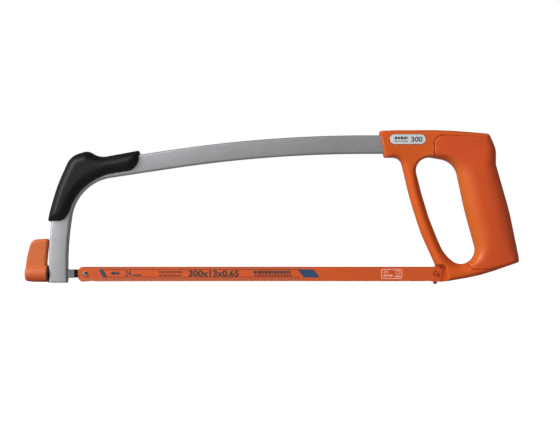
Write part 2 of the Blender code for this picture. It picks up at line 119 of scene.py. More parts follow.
# thickness stations: x, z, half thickness, width of the rim's rounding
GRIP_FIELD = [(-150, 100, 12.5, 8.8), (-185, 60, 12.3, 7.6), (-120, 105, 12.0, 8.0)]
HANDLE_FIELD = [
    (94, 120, 9.6, 2.6), (105, 120, 9.6, 2.6), (118, 120, 9.6, 2.8), (130, 121, 9.7, 3.4),
    (142, 121, 10.4, 4.5), (156, 122, 11.0, 5.0), (172, 121, 11.3, 6.0), (186, 118, 11.2, 7.5),
    (160, 108, 11.6, 9.0), (176, 104, 12.8, 13.0), (186, 100, 12.8, 14.0),
    (172, 85, 13.6, 16.5), (186, 80, 13.6, 16.5), (176, 65, 13.8, 17.0), (190, 60, 13.8, 17.0),
    (181, 45, 13.6, 16.0), (195, 40, 13.6, 16.0), (185, 27, 12.6, 12.0), (200, 26, 12.4, 12.0),
    (180, 15, 10.2, 5.0), (200, 17, 10.0, 5.0), (165, 12, 9.2, 4.2), (152, 9, 8.8, 3.6),
    (140, 8, 8.6, 3.0), (112, 104, 8.4, 4.4), (118, 96, 7.4, 6.2), (120, 85, 7.0, 6.4),
    (124, 70, 7.0, 6.4), (129, 55, 7.0, 6.4), (134, 40, 7.0, 6.6), (141, 27, 7.6, 6.0),
    (150, 17, 8.4, 4.6),
]

RIM_RINGS = (0.04, 0.16, 0.36, 0.65, 1.0, 1.45, 2.0, 2.7, 3.6)      # rows of points inside a rim
SEAM_RINGS = (0.08, 0.2, 0.4, 0.7, 1.1, 1.6)                        # and inside a seam
RIM_SPACING = 0.9
SEAMS = {0: (0.9, 1.0), 0.3: (1.7, 0.5)}          # breadth of a seam's rounding, and its depth
RIMS = {2: (6.2, 1.45), 3: (1.3, 1.8)}            # width and power of rims with their own rounding
OPENING_TAPER = (80, 108), (6.2, 2.0)             # heights, and the width of an opening's rim there
ARC_STEP, LEAST_RADIUS = math.radians(4), 0.15    # of a rounded corner


# ---------------------------------------------------------------- mesh tools
def new_object(name, bm, mat, smooth_angle=35):
    """Object in the scene from a bmesh, smooth but for edges sharper than the angle."""
    bmesh.ops.remove_doubles(bm, verts=bm.verts, dist=MERGE)
    bmesh.ops.recalc_face_normals(bm, faces=bm.faces)
    mesh = bpy.data.meshes.new(name)
    bm.to_mesh(mesh)
    bm.free()
    obj = bpy.data.objects.new(name, mesh)
    bpy.context.scene.collection.objects.link(obj)
    if mat is not None:
        mesh.materials.append(mat)
    mesh.shade_smooth()
    if smooth_angle:
        mesh.set_sharp_from_angle(angle=math.radians(smooth_angle))
    return obj


def loft(name, rings, mat=None):
    """Closed skin over a row of rings that all have the same number of points."""
    bm = bmesh.new()
    rows = [[bm.verts.new(Vector(p) * MM) for p in ring] for ring in rings]
    count = len(rows[0])
    for low, high in zip(rows, rows[1:]):
        for i in range(count):
            j = (i + 1) % count
            bm.faces.new((low[i], low[j], high[j], high[i]))
    bm.faces.new(rows[0])
    bm.faces.new(rows[-1])
    return new_object(name, bm, mat)


def outline(corners, inset=0.0):
    """Rounded outline of a corner list, moved inwards by inset.

    Returns the points and, for each point, the kind of the edge that starts there.
    """
    count = len(corners)
    area = sum(a[0] * b[1] - b[0] * a[1] for a, b in zip(corners, corners[1:] + corners[:1]))
    turn = 1.0 if area > 0 else -1.0
    lines = []
    for i in range(count):
        x0, z0 = corners[i][:2]
        x1, z1 = corners[(i + 1) % count][:2]
        way = Vector((x1 - x0, z1 - z0)).normalized()
        inward = Vector((-way.y, way.x)) * turn
        lines.append((Vector((x0, z0)) + inward * inset * corners[i][3], way))
    points, kinds = [], []
    for i in range(count):
        start_a, way_a = lines[i - 1]
        start_b, way_b = lines[i]
        cross = way_a.x * way_b.y - way_a.y * way_b.x
        gap = start_b - start_a
        along = (gap.x * way_b.y - gap.y * way_b.x) / cross
        corner = start_a + way_a * along
        angle = math.atan2(cross, way_a.dot(way_b))
        convex = cross * turn > 0
        share = min(corners[i - 1][3], corners[i][3])
        radius = max(corners[i][2] - inset * share * (1 if convex else -1), LEAST_RADIUS)
        back = radius * math.tan(abs(angle) / 2)
        first = corner - way_a * back
        side = Vector((-way_a.y, way_a.x)) * (1 if cross > 0 else -1)
        centre = first + side * radius
        steps = max(1, round(abs(angle) / ARC_STEP))
        spoke = first - centre
        for k in range(steps + 1):
            a = angle * k / steps
            points.append((centre.x + spoke.x * math.cos(a) - spoke.y * math.sin(a),
                           centre.y + spoke.x * math.sin(a) + spoke.y * math.cos(a)))
            kinds.append(corners[i][3] if k == steps else corners[i - 1][3])
    return points, kinds


def resample(points, kinds):
    """Splits long spans of a closed loop; a span takes the kind of its first point."""
    loop, loop_kinds = [], []
    for a, b, kind in zip(points, points[1:] + points[:1], kinds):
        a, b = np.array(a), np.array(b)
        span = float(np.hypot(*(b - a)))
        if span < 1e-4:
            continue
        pieces = max(1, math.ceil(span / RIM_SPACING))
        for k in range(pieces):
            loop.append(a + (b - a) * k / pieces)
            loop_kinds.append(kind)
    return np.array(loop), np.array(loop_kinds)


def distance(points, starts, ends):
    """Shortest distance of each point to a set of spans, a batch of points at a time."""
    best = np.full(len(points), 1e9)
    way = ends - starts
    length2 = (way ** 2).sum(1) + 1e-12
    batch = 4000
    for low in range(0, len(points), batch):
        rel = points[low:low + batch, None, :] - starts[None]
        t = np.clip((rel * way[None]).sum(2) / length2[None], 0, 1)
        gap = rel - way[None] * t[..., None]
        best[low:low + batch] = np.sqrt((gap ** 2).sum(2).min(1))
    return best


def inside(points, loop):
    """For each point, whether it lies inside a closed loop."""
    x, z = points[:, 0], points[:, 1]
    hit = np.zeros(len(points), bool)
    x0, z0 = loop[:, 0], loop[:, 1]
    x1, z1 = np.roll(x0, -1), np.roll(z0, -1)
    for a, b, c, d in zip(x0, z0, x1, z1):
        if b == d:
            continue
        crosses = (b > z) != (d > z)
        hit ^= crosses & (x < (c - a) * (z - b) / (d - b) + a)
    return hit


def field(points, stations, spread):
    """Smooth blend of station values; each station is x, z and then its values.

    spread is how far a station reaches.
    """
    st = np.array(stations, float)
    d2 = ((points[:, None, :] - st[None, :, :2]) ** 2).sum(2)
    w = np.exp(-d2 / (2 * spread ** 2)) + 1e-12
    w /= w.sum(1, keepdims=True)
    return w @ st[:, 2:]


def triangulate(loop, extra):
    """Flat triangles that fill a closed loop and pass through the extra points."""
    edges = [(i, (i + 1) % len(loop)) for i in range(len(loop))]
    points = [Vector(p) for p in np.concatenate([loop, *extra])]
    verts, _, faces, _, _, _ = delaunay_2d_cdt(points, edges, [], 1, 1e-5)
    return np.array([(v.x, v.y) for v in verts]), faces


def two_sheets(flat, faces, near, far):
    """A near and a far sheet over the same flat faces, with a wall along their border.

    near and far hold the Y of each point. Where they meet, the wall narrows to nothing.
    """
    bm = bmesh.new()
    front = [bm.verts.new(Vector((p[0], y, p[1])) * MM) for p, y in zip(flat, near)]
    rear = [bm.verts.new(Vector((p[0], y, p[1])) * MM) for p, y in zip(flat, far)]
    sides = {}
    for face in faces:
        bm.faces.new([front[i] for i in face])
        bm.faces.new([rear[i] for i in reversed(face)])
        for side in zip(face, face[1:] + face[:1]):
            sides[side] = True
    for a, b in sides:
        wall = [front[b], front[a], *(rear[i] for i in (a, b) if far[i] - near[i] > THIN)]
        if (b, a) not in sides and len(wall) > 2:
            bm.faces.new(wall)
    return bm


def inner_points(loop, nxt, free, grid):
    """Points for a pillow's mesh: close rows along its rims and seams, and a grid between them."""
    way = nxt - loop
    way /= np.hypot(way[:, 0], way[:, 1])[:, None]
    area = (loop[:, 0] * nxt[:, 1] - nxt[:, 0] * loop[:, 1]).sum()
    normal = np.stack([-way[:, 1], way[:, 0]], 1) * (1 if area > 0 else -1)
    inward = normal + np.roll(normal, 1, axis=0)
    inward /= np.hypot(inward[:, 0], inward[:, 1])[:, None] + 1e-9
    xs = np.arange(loop[:, 0].min(), loop[:, 0].max(), grid)
    zs = np.arange(loop[:, 1].min(), loop[:, 1].max(), grid * 0.87)     # nearly even triangles
    gx, gz = np.meshgrid(xs, zs)
    gx[1::2] += grid / 2
    cells = np.stack([gx.ravel(), gz.ravel()], 1)
    cells = cells[inside(cells, loop)]
    found = []
    for pick, depths in ((free, RIM_RINGS), (~free, SEAM_RINGS)):
        if not pick.any():
            continue
        for depth in depths:
            moved = loop[pick] + inward[pick] * depth
            moved = moved[inside(moved, loop)]
            found.append(moved[distance(moved, loop, nxt) > depth * 0.93])
        cells = cells[distance(cells, loop[pick], nxt[pick]) > depths[-1] + grid * 0.4]
    return [*found, cells]


def pillow(name, corners, stations, mat, spread=9.0, power=2.2, grid=1.5):
    """Closed form from a side outline: full thickness inside, rounded to nothing at free rims,
    and a softly broken square edge at seams."""
    loop, kinds = resample(*outline(corners))
    nxt = np.roll(loop, -1, axis=0)
    flat, faces = triangulate(loop, inner_points(loop, nxt, kinds > 0.5, grid))
    centres = np.array([flat[list(f)].mean(0) for f in faces])
    faces = [f for f, k in zip(faces, inside(centres, loop)) if k]
    values = field(flat, stations, spread)
    height = values[:, 0].copy()
    for kind in (1, 2, 3):
        pick = kinds == kind
        if not pick.any():
            continue
        width, bend = RIMS.get(kind, (values[:, 1], power))
        if kind == 2:
            width = np.interp(flat[:, 1], *OPENING_TAPER)
        reach = distance(flat, loop[pick], nxt[pick])
        reach[reach < 2e-4] = 0
        t = np.clip(reach / width, 0, 1)
        height *= (1 - (1 - t) ** bend) ** (1 / bend)
    for kind, (breadth, depth) in SEAMS.items():
        pick = np.abs(kinds - kind) < 0.01
        if pick.any():
            near = np.clip(distance(flat, loop[pick], nxt[pick]), 0, breadth)
            dip = breadth - np.sqrt(np.maximum(breadth ** 2 - (breadth - near) ** 2, 0))
            height = np.maximum(height - depth * dip, 0)
    return new_object(name, two_sheets(flat, faces, -height, height), mat, 45)


def turned(name, profile, centre, steps, axis="x", mat=None):
    """Round form from a profile of places along an axis and the radius at each."""
    rings = []
    for along, radius in profile:
        ring = []
        for k in range(steps):
            a = 2 * math.pi * (k + 0.5) / steps
            point = [centre[0] + radius * math.cos(a), centre[1] + radius * math.sin(a)]
            point.insert("xyz".index(axis), along)
            ring.append(point)
        rings.append(ring)
    return loft(name, rings, mat)


def rod(name, span, radius, centre, steps, axis="x"):
    """Plain round bar between two places along an axis."""
    return turned(name, [(along, radius) for along in span], centre, steps, axis)


def block(name, x0, x1, y0, y1, z0, z1):
    return loft(name, [[(x, y0, z0), (x, y1, z0), (x, y1, z1), (x, y0, z1)] for x in (x0, x1)])


def layered(name, corners, levels):
    """Form from one corner list at several levels, each a Y and how far the outline moves in."""
    return loft(name, [[(x, y, z) for x, z in outline(corners, e)[0]] for y, e in levels])


def slab(name, corners, half, edge, flat, steps):
    """Plate with rounded rims; flat is the share of the thickness that stays square."""
    profile = []
    for k in range(steps + 1):
        a = math.pi / 2 * k / steps
        profile.append((half * (flat + (1 - flat) * math.sin(a)), edge * (1 - math.cos(a))))
    return layered(name, corners, [(-y, e) for y, e in reversed(profile)] + profile)


def apply_modifiers(obj):
    """Turns an object's modifiers into its mesh."""
    graph = bpy.context.evaluated_depsgraph_get()
    mesh = bpy.data.meshes.new_from_object(obj.evaluated_get(graph))
    obj.modifiers.clear()
    obj.data = mesh


def combine(target, tools, operation="DIFFERENCE"):
    """Cuts the tools from the target, or joins them to it, and removes them."""
    for tool in tools:
        mod = target.modifiers.new(tool.name, "BOOLEAN")
        mod.operation = operation
        mod.solver = "EXACT"
        mod.object = tool
    apply_modifiers(target)
    for tool in tools:
        bpy.data.objects.remove(tool, do_unlink=True)


def sharpen(obj, angle):
    obj.data.shade_smooth()
    obj.data.set_sharp_from_angle(angle=math.radians(angle))


def centre_line():
    """Stations of the bent tube, from the leg's foot to the bar's end: x, z and heading."""
    x, z, heading = LEG_X, LEG_FOOT, math.pi / 2
    stations = [(x, z, heading)]
    moves = [("run", LEG_STRAIGHT, 0, 2), ("arc", *LEG_BOW, 6), ("arc", *BEND, 30),
             ("run", SHOULDER, 0, 3), ("arc", *BAR_BOW, 24), ("run", BAR_IN_SOCKET, 0, 2)]
    for kind, size, degrees, steps in moves:
        for _ in range(steps):
            if kind == "run":
                x += size / steps * math.cos(heading)
                z += size / steps * math.sin(heading)
            else:
                step = math.radians(degrees) / steps
                chord = 2 * size * math.sin(step / 2)
                x += chord * math.cos(heading - step / 2)
                z += chord * math.sin(heading - step / 2)
                heading -= step
            stations.append((x, z, heading))
    return stations


def tube_section(deep, wide, corner, per_corner):
    """Rounded oblong, as places across the tube and along Y."""
    points = []
    for i, (su, sv) in enumerate(((1, 1), (-1, 1), (-1, -1), (1, -1))):
        for k in range(per_corner + 1):
            a = math.pi / 2 * (i + k / per_corner)
            points.append((su * (deep / 2 - corner) + corner * math.cos(a),
                           sv * (wide / 2 - corner) + corner * math.sin(a)))
    return points


def tube_rings(deep, wide, corner, per_corner, overrun=0.0):
    """Rings of a bar that follows the tube, running past its ends by overrun."""
    stations = centre_line()
    section = tube_section(deep, wide, corner, per_corner)
    rings = []
    for n, (x, z, heading) in enumerate(stations):
        push = -overrun if n == 0 else overrun if n == len(stations) - 1 else 0
        x += push * math.cos(heading)
        z += push * math.sin(heading)
        side = (-math.sin(heading), math.cos(heading))
        rings.append([(x + u * side[0], v, z + u * side[1]) for u, v in section])
    return rings


# ---------------------------------------------------------------- materials
def node_material(name):
    mat = bpy.data.materials.new(name)
    mat.use_nodes = True
    tree = mat.node_tree
    shader = tree.nodes["Principled BSDF"]
    return mat, tree, shader


def add(tree, kind, **inputs):
    """New node with some of its inputs set."""
    node = tree.nodes.new(kind)
    for key, value in inputs.items():
        node.inputs[key].default_value = value
    return node


def object_noise(tree, scale, detail=2.0, rough=0.5, stretch=(1, 1, 1)):
    coord = tree.nodes.new("ShaderNodeTexCoord")
    mapping = add(tree, "ShaderNodeMapping", Scale=stretch)
    noise = add(tree, "ShaderNodeTexNoise", Scale=scale, Detail=detail, Roughness=rough)
    tree.links.new(coord.outputs["Object"], mapping.inputs["Vector"])
    tree.links.new(mapping.outputs["Vector"], noise.inputs["Vector"])
    return noise.outputs["Fac"]


def components(tree, space):
    """X, Y and Z of a texture coordinate: of the place in the object, say, or of the normal."""
    coord = tree.nodes.new("ShaderNodeTexCoord")
    split = tree.nodes.new("ShaderNodeSeparateXYZ")
    tree.links.new(coord.outputs[space], split.inputs["Vector"])
    return split.outputs


def remap(tree, source, low, high, start=0.3, end=0.7):
    """A value that runs from low to high while the source runs from start to end."""
    node = tree.nodes.new("ShaderNodeMapRange")
    for key, value in (("From Min", start), ("From Max", end), ("To Min", low), ("To Max", high)):
        node.inputs[key].default_value = value
    tree.links.new(source, node.inputs["Value"])
    return node.outputs["Result"]


def math_node(tree, operation, one, two):
    node = tree.nodes.new("ShaderNodeMath")
    node.operation = operation
    for socket, value in zip(node.inputs, (one, two)):
        if isinstance(value, (int, float)):
            socket.default_value = value
        else:
            tree.links.new(value, socket)
    return node.outputs["Value"]


def mix_colour(tree, factor, one, two):
    node = tree.nodes.new("ShaderNodeMix")
    node.data_type = "RGBA"
    for key, value in (("A", one), ("B", two)):
        if isinstance(value, tuple):
            node.inputs[key].default_value = (*value, 1)
        else:
            tree.links.new(value, node.inputs[key])
    tree.links.new(factor, node.inputs["Factor"])
    return node.outputs["Result"]


def bump(tree, shader, height, strength, depth_mm):
    node = add(tree, "ShaderNodeBump", Strength=strength, Distance=depth_mm * MM)
    tree.links.new(height, node.inputs["Height"])
    tree.links.new(node.outputs["Normal"], shader.inputs["Normal"])


def painted(name, colour, darker, roughness, wear=0.0):
    """Paint; wear is how much of a paler tone its sharp edges get."""
    mat, tree, shader = node_material(name)
    broad = object_noise(tree, 22, 3)
    tint = mix_colour(tree, remap(tree, broad, 0, 1), colour, darker)
    if wear:
        geo = tree.nodes.new("ShaderNodeNewGeometry")
        edge = remap(tree, geo.outputs["Pointiness"], 0, wear, 0.53, 0.60)
        tint = mix_colour(tree, edge, tint, (0.78, 0.30, 0.14))
    tree.links.new(tint, shader.inputs["Base Color"])
    fine = object_noise(tree, 900, 3)
    rough = remap(tree, fine, roughness - 0.05, roughness + 0.05)
    tree.links.new(rough, shader.inputs["Roughness"])
    shader.inputs["Specular IOR Level"].default_value = 0.3
    bump(tree, shader, fine, 0.5, 0.03)
    return mat


def steel(name, light, dark, roughness, stretch=(1, 1, 1), grain=700, depth=0.02, metallic=1.0,
          speck=None):
    """Metal in two broad tones; speck is the tone of its fine grain, stretch the grain's run."""
    mat, tree, shader = node_material(name)
    broad = object_noise(tree, 60, 4, 0.6)
    fine = object_noise(tree, grain, 4, 0.7, stretch)
    base = mix_colour(tree, remap(tree, broad, 0, 1), light, dark)
    base = mix_colour(tree, remap(tree, fine, 0, 0.5), base, speck or dark)
    tree.links.new(base, shader.inputs["Base Color"])
    rough = remap(tree, fine, roughness - 0.08, roughness + 0.08)
    tree.links.new(rough, shader.inputs["Roughness"])
    shader.inputs["Metallic"].default_value = metallic
    bump(tree, shader, fine, 0.4, depth)
    return mat


def rod_material():
    """Dull zinc, with the recessed flat behind the blade's end painted very dark as shade."""
    mat, tree, shader = node_material("zinc_rod")
    fine = object_noise(tree, 700, 4, 0.7)
    broad = object_noise(tree, 60, 4, 0.6)
    base = mix_colour(tree, remap(tree, broad, 0, 1), (0.26, 0.28, 0.28), (0.17, 0.19, 0.19))
    # painted shade: the flat in the recess behind the blade's end is made very dark and not
    # metallic
    place = components(tree, "Object")
    off_flat = math_node(tree, "SUBTRACT", place["Y"], SEAT_Y * MM)
    off_flat = math_node(tree, "ABSOLUTE", off_flat, 0.0)
    on_flat = remap(tree, off_flat, 1, 0, *FLAT_SHADE_FADE)
    past = remap(tree, place["X"], 0, 1, (ROD_FLAT_X - 0.2) * MM, ROD_FLAT_X * MM)
    black = math_node(tree, "MULTIPLY", on_flat, past)
    base = mix_colour(tree, black, base, (0.006, 0.006, 0.006))
    tree.links.new(base, shader.inputs["Base Color"])
    tree.links.new(remap(tree, fine, 0.37, 0.53), shader.inputs["Roughness"])
    tree.links.new(remap(tree, black, 1.0, 0.0, 0, 1), shader.inputs["Metallic"])
    bump(tree, shader, fine, 0.4, 0.02)
    return mat


def blade_material():
    """Orange paint, duller along its edges and worn through to steel at the tips of the teeth."""
    mat, tree, shader = node_material("blade_paint")
    broad = object_noise(tree, 18, 3)
    tint = mix_colour(tree, remap(tree, broad, 0, 1), (0.64, 0.100, 0.016), (0.58, 0.088, 0.014))
    streaks = object_noise(tree, 500, 3, 0.6, (0.02, 1, 1))
    tint = mix_colour(tree, remap(tree, streaks, 0, 0.25), tint, (0.44, 0.062, 0.012))
    place = components(tree, "Object")
    above = remap(tree, place["Z"], 0, 1, *DULL_TOP)
    below = remap(tree, place["Z"], 1, 0, *DULL_LOW)
    printed = remap(tree, place["X"], 0.45, 0, *PRINTED_END)
    duller = math_node(tree, "MULTIPLY", math_node(tree, "ADD", above, below), printed)
    rim = remap(tree, place["Z"], 0, 0.6, *WORN_TOP)
    tint = mix_colour(tree, math_node(tree, "MAXIMUM", duller, rim), tint, (0.36, 0.125, 0.070))
    ragged = math_node(tree, "MULTIPLY", object_noise(tree, 2600, 2), 0.0009)
    level = math_node(tree, "ADD", place["Z"], ragged)
    bare = remap(tree, level, 1, 0, *BARE_TIPS)
    tint = mix_colour(tree, bare, tint, (0.30, 0.24, 0.22))
    tree.links.new(tint, shader.inputs["Base Color"])
    fine = object_noise(tree, 1200, 3)
    tree.links.new(remap(tree, fine, 0.36, 0.46), shader.inputs["Roughness"])
    tree.links.new(math_node(tree, "MULTIPLY", bare, 0.9), shader.inputs["Metallic"])
    shader.inputs["Specular IOR Level"].default_value = 0.35
    bump(tree, shader, streaks, 0.35, 0.012)
    return mat


def moulded(name, colour, darker, roughness, grain=1400, depth=0.04, specular=0.5, low=None,
            left=None):
    """Moulded plastic; low is a painted shade towards the floor, left a painted sheen on sides
    facing -X.
    """
    mat, tree, shader = node_material(name)
    broad = object_noise(tree, 30, 3)
    tint = mix_colour(tree, remap(tree, broad, 0, 1), colour, darker)
    # painted shade: low deepens the colour towards the floor, standing in for the shade on the
    # underside
    if low:
        height = components(tree, "Object")["Z"]
        tint = mix_colour(tree, remap(tree, height, 1, 0, *LOW_SHADE), tint, low)
    # painted sheen: sides facing -X, towards the key light, get a paler and yellower tone
    if left:
        facing = components(tree, "Normal")["X"]
        tint = mix_colour(tree, remap(tree, facing, 1, 0, *LEFT_SHEEN), tint, left)
    tree.links.new(tint, shader.inputs["Base Color"])
    fine = object_noise(tree, grain, 2)
    rough = remap(tree, fine, roughness - 0.06, roughness + 0.06)
    tree.links.new(rough, shader.inputs["Roughness"])
    shader.inputs["Specular IOR Level"].default_value = specular
    bump(tree, shader, fine, 0.6, depth)
    return mat


PAINT = painted("orange_paint", (0.64, 0.100, 0.010), (0.60, 0.088, 0.009), 0.40, wear=0.2)
PIN_PAINT = painted("pin_paint", (0.56, 0.080, 0.011), (0.46, 0.060, 0.010), 0.45)
# the grip's left colour is a painted sheen on sides facing -X
SOFT = moulded("orange_soft_grip", (0.62, 0.080, 0.011), (0.57, 0.068, 0.010), 0.42,
               specular=0.34, left=(0.60, 0.118, 0.012))
# the knob's low colour is painted shade on the lower part of its hub
KNOB = moulded("orange_knob", (0.56, 0.128, 0.032), (0.51, 0.110, 0.026), 0.50,
               specular=0.3, low=(0.46, 0.062, 0.016))
RUBBER = moulded("black_rubber", (0.002, 0.002, 0.002), (0.001, 0.001, 0.001), 0.50,
                 grain=1100, specular=0.28)
PLASTIC = moulded("black_plastic", (0.02, 0.02, 0.022), (0.015, 0.015, 0.016), 0.5)
PLUG = moulded("grey_plastic", (0.34, 0.34, 0.35), (0.28, 0.28, 0.29), 0.5)
TUBE = steel("satin_tube", (0.50, 0.50, 0.52), (0.46, 0.46, 0.48), 0.46,
             grain=1500, depth=0.03, speck=(0.20, 0.20, 0.21))
ROD = rod_material()
PIN = steel("pin_steel", (0.34, 0.32, 0.31), (0.24, 0.23, 0.22), 0.6)
BRASS = steel("brass_insert", (0.66, 0.48, 0.2), (0.5, 0.36, 0.15), 0.35)
BADGE = steel("badge_silver", (0.74, 0.75, 0.76), (0.66, 0.67, 0.68), 0.45,
              stretch=(6, 1, 1), metallic=0.35)
BLADE = blade_material()
INK = moulded("dark_ink", (0.030, 0.034, 0.052), (0.045, 0.042, 0.055), 0.5)
BLUE_INK = moulded("blue_ink", (0.012, 0.045, 0.110), (0.020, 0.060, 0.130), 0.45)
LINE_INK = moulded("line_ink", (0.150, 0.024, 0.010), (0.170, 0.030, 0.012), 0.5)
WORD_INK = moulded("word_ink", (0.040, 0.026, 0.024), (0.055, 0.032, 0.026), 0.5)
FAINT_INK = moulded("faint_ink", (0.26, 0.055, 0.040), (0.34, 0.065, 0.035), 0.5)
PALE_INK = moulded("pale_ink", (0.90, 0.46, 0.36), (0.84, 0.38, 0.28), 0.5)
GREY_INK = moulded("grey_ink", (0.030, 0.030, 0.034), (0.045, 0.045, 0.05), 0.5)


# ---------------------------------------------------------------- pieces
def make_tube():
    tube = loft("frame_tube_skin", tube_rings(TUBE_DEEP, TUBE_WIDE, TUBE_CORNER, 7), TUBE)
    bore = loft("bore", tube_rings(TUBE_DEEP - 2 * TUBE_WALL, TUBE_WIDE - 2 * TUBE_WALL,
                                   TUBE_CORNER - TUBE_WALL, 3, overrun=5))
    window = block("window", *LEG_THROUGH, -WINDOW_WIDE, WINDOW_WIDE,
                   PULL_Z - WINDOW_DEEP, PULL_Z + WINDOW_DEEP)
    combine(tube, [bore, window])
    sharpen(tube, 40)
    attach(tube, "frame")
    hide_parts("frame_tube")


def make_front_grip():
    grip = pillow("front_grip_skin", FRONT_GRIP_RIM, GRIP_FIELD, RUBBER,
                  spread=18, power=2.0, grid=1.2)
    channel = loft("channel", tube_rings(TUBE_DEEP + 2 * GRIP_GAP, TUBE_WIDE + 2 * GRIP_GAP,
                                         TUBE_CORNER + GRIP_GAP, 5))
    combine(grip, [channel])
    sharpen(grip, 50)
    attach(grip, "frame")
    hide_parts("front_grip")


def make_knob():
    """Hub and wing, melted into one skin by a remesh and then bored."""
    centre = (0, PULL_Z)
    profile = [(HUB_X0, 4.9), (HUB_X0 + 0.2, 5.5), (HUB_X0 + 0.6, 6.0), (HUB_X0 + 1.2, 6.4),
               (HUB_X0 + 2.2, 6.7), (HUB_X0 + 6, 7.0), (HUB_X1 - 6, HUB_R), (HUB_X1 - 0.8, HUB_R),
               (HUB_X1 - 0.3, HUB_R - 0.15), (HUB_X1, HUB_R - 0.5)]
    hub = turned("tension_knob_skin", profile, centre, 64, "x", KNOB)
    wing = slab("wing", WING_RIM, WING_HALF, WING_EDGE, WING_FLAT, 8)
    combine(hub, [wing], "UNION")
    mod = hub.modifiers.new("skin", "REMESH")
    mod.mode = "VOXEL"
    mod.voxel_size = 0.28 * MM
    mod = hub.modifiers.new("flow", "SMOOTH")
    mod.factor = 0.5
    mod.iterations = 9
    apply_modifiers(hub)
    past = HUB_X1 + 6.3
    nut_room = rod("nut room", (NUT_X0 - 0.3, past), NUT_ROOM_R, centre, 48)
    rod_room = rod("rod room", (HUB_X0 + 2.2, past), ROD_ROOM_R, centre, 32)
    combine(hub, [nut_room, rod_room])
    hub.data.materials.clear()
    hub.data.materials.append(KNOB)
    sharpen(hub, 50)
    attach(hub, "knob")
    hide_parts("tension_knob")


def make_handle():
    core = pillow("handle_core_skin", CORE_RIM, HANDLE_FIELD, PAINT)
    section = tube_section(TUBE_DEEP + 2 * SOCKET_GAP, TUBE_WIDE + 2 * SOCKET_GAP,
                           TUBE_CORNER + SOCKET_GAP, 6)
    bar_z = centre_line()[-1][1]
    socket = loft("socket", [[(x, v, bar_z + u) for u, v in section] for x in SOCKET_X])
    rear_bore = rod("rear bore", REAR_BORE_Y, PIN_BORE_R, (REAR_PIN_X, PULL_Z), 32, "y")
    lower_bore = rod("lower bore", LOWER_BORE_Z, PIN_BORE_R, LOWER_PIN_AT, 32, "z")
    recess = layered("recess", badge_corners(), [(-12, 0), (-SOCKET_HALF + 0.8, 0)])
    combine(core, [socket, pocket_tool(), rear_bore, lower_bore, recess])
    sharpen(core, 38)
    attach(core, "frame")
    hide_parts("handle_core")

    sleeve = pillow("grip_sleeve_skin", SLEEVE_RIM, HANDLE_FIELD, SOFT)
    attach(sleeve, "frame")
    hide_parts("grip_sleeve")


def pocket_tool():
    """Room for the blade's end, with a rounded lip where it meets the nose's near side."""
    corners = [(118, -6, 1, 1), (118, 17.2, 1, 1), (148.2, 17.2, 5, 1), (151.2, -6, 1, 1)]
    levels = [(NOSE_Y - 11.1, -POCKET_LIP - 8)]
    for k in range(6):
        rise = math.sin(math.pi / 2 * k / 5)
        levels.append((NOSE_Y + POCKET_LIP * rise, -POCKET_LIP * (1 - rise)))
    levels.append((SEAT_Y, 0))
    return layered("pocket", corners, levels)


def badge_corners():
    """Corner list of the badge's recess, with ends that are nearly half round."""
    half_x, half_z = BADGE_SIZE[0] + BADGE_GAP, BADGE_SIZE[1] + BADGE_GAP
    x, z = BADGE_AT
    return [(x + side * half_x, z + up * half_z, half_z * 0.98, 1)
            for side, up in ((-1, -1), (1, -1), (1, 1), (-1, 1))]


CAD_LOOKS = {
    "blade_holder": ROD, "front_blade_pin": PIN, "rear_blade_pin": PIN_PAINT,
    "lower_blade_pin": PIN_PAINT, "knob_nut": BRASS, "thrust_washer": PLASTIC,
    "leg_end_plug": PLUG, "tube_lock_pin_front": PIN, "tube_lock_pin_rear": PIN,
    "badge_plate": BADGE,
}


def dress_cad_pieces():
    """Gives the pieces that keep their CAD mesh a material and a fine edge break."""
    for node, mat in CAD_LOOKS.items():
        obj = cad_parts[node]
        obj.data.materials.clear()
        obj.data.materials.append(mat)
        soft = obj.modifiers.new("soft edge", "BEVEL")
        soft.width = 0.12 * MM
        soft.segments = 2
        soft.limit_method = "ANGLE"
        soft.angle_limit = math.radians(40)


def arc(cx, cz, radius, start, steps=8):
    """Quarter circle from the given heading in degrees."""
    turns = [math.radians(start + 90 * k / steps) for k in range(steps + 1)]
    return [(cx + radius * math.cos(a), cz + radius * math.sin(a)) for a in turns]


def blade_outline():
    """Rounded oblong with a row of teeth along its lower edge."""
    left, right = BLADE_X0 + BLADE_CORNER, BLADE_X1 - BLADE_CORNER
    low, high = BLADE_Z0 + BLADE_CORNER, BLADE_Z1 - BLADE_CORNER
    points = arc(right, high, BLADE_CORNER, 0)
    points += arc(left, high, BLADE_CORNER, 90)
    points += arc(left, low, BLADE_CORNER, 180)
    x = TEETH_X0
    while x < TEETH_X1:
        points.append((x, BLADE_Z0 + TOOTH_DEEP))
        points.append((x + TOOTH_PITCH * 0.80, BLADE_Z0))
        points.append((x + TOOTH_PITCH * 0.97, BLADE_Z0 + TOOTH_DEEP * 0.96))
        x += TOOTH_PITCH
    return points + arc(right, low, BLADE_CORNER, 270)


def tooth_set(x, z):
    """Sideways wave of the toothed edge, fading out above the teeth."""
    reach = min(max((BLADE_Z0 + SET_HIGH - z) / (SET_HIGH - TOOTH_DEEP * 0.5), 0), 1)
    ends = min((x - TEETH_X0) / SET_FADE, (TEETH_X1 - x) / SET_FADE, 1)
    return SET_SWING * math.sin(2 * math.pi * x / SET_WAVE) * reach * max(ends, 0)


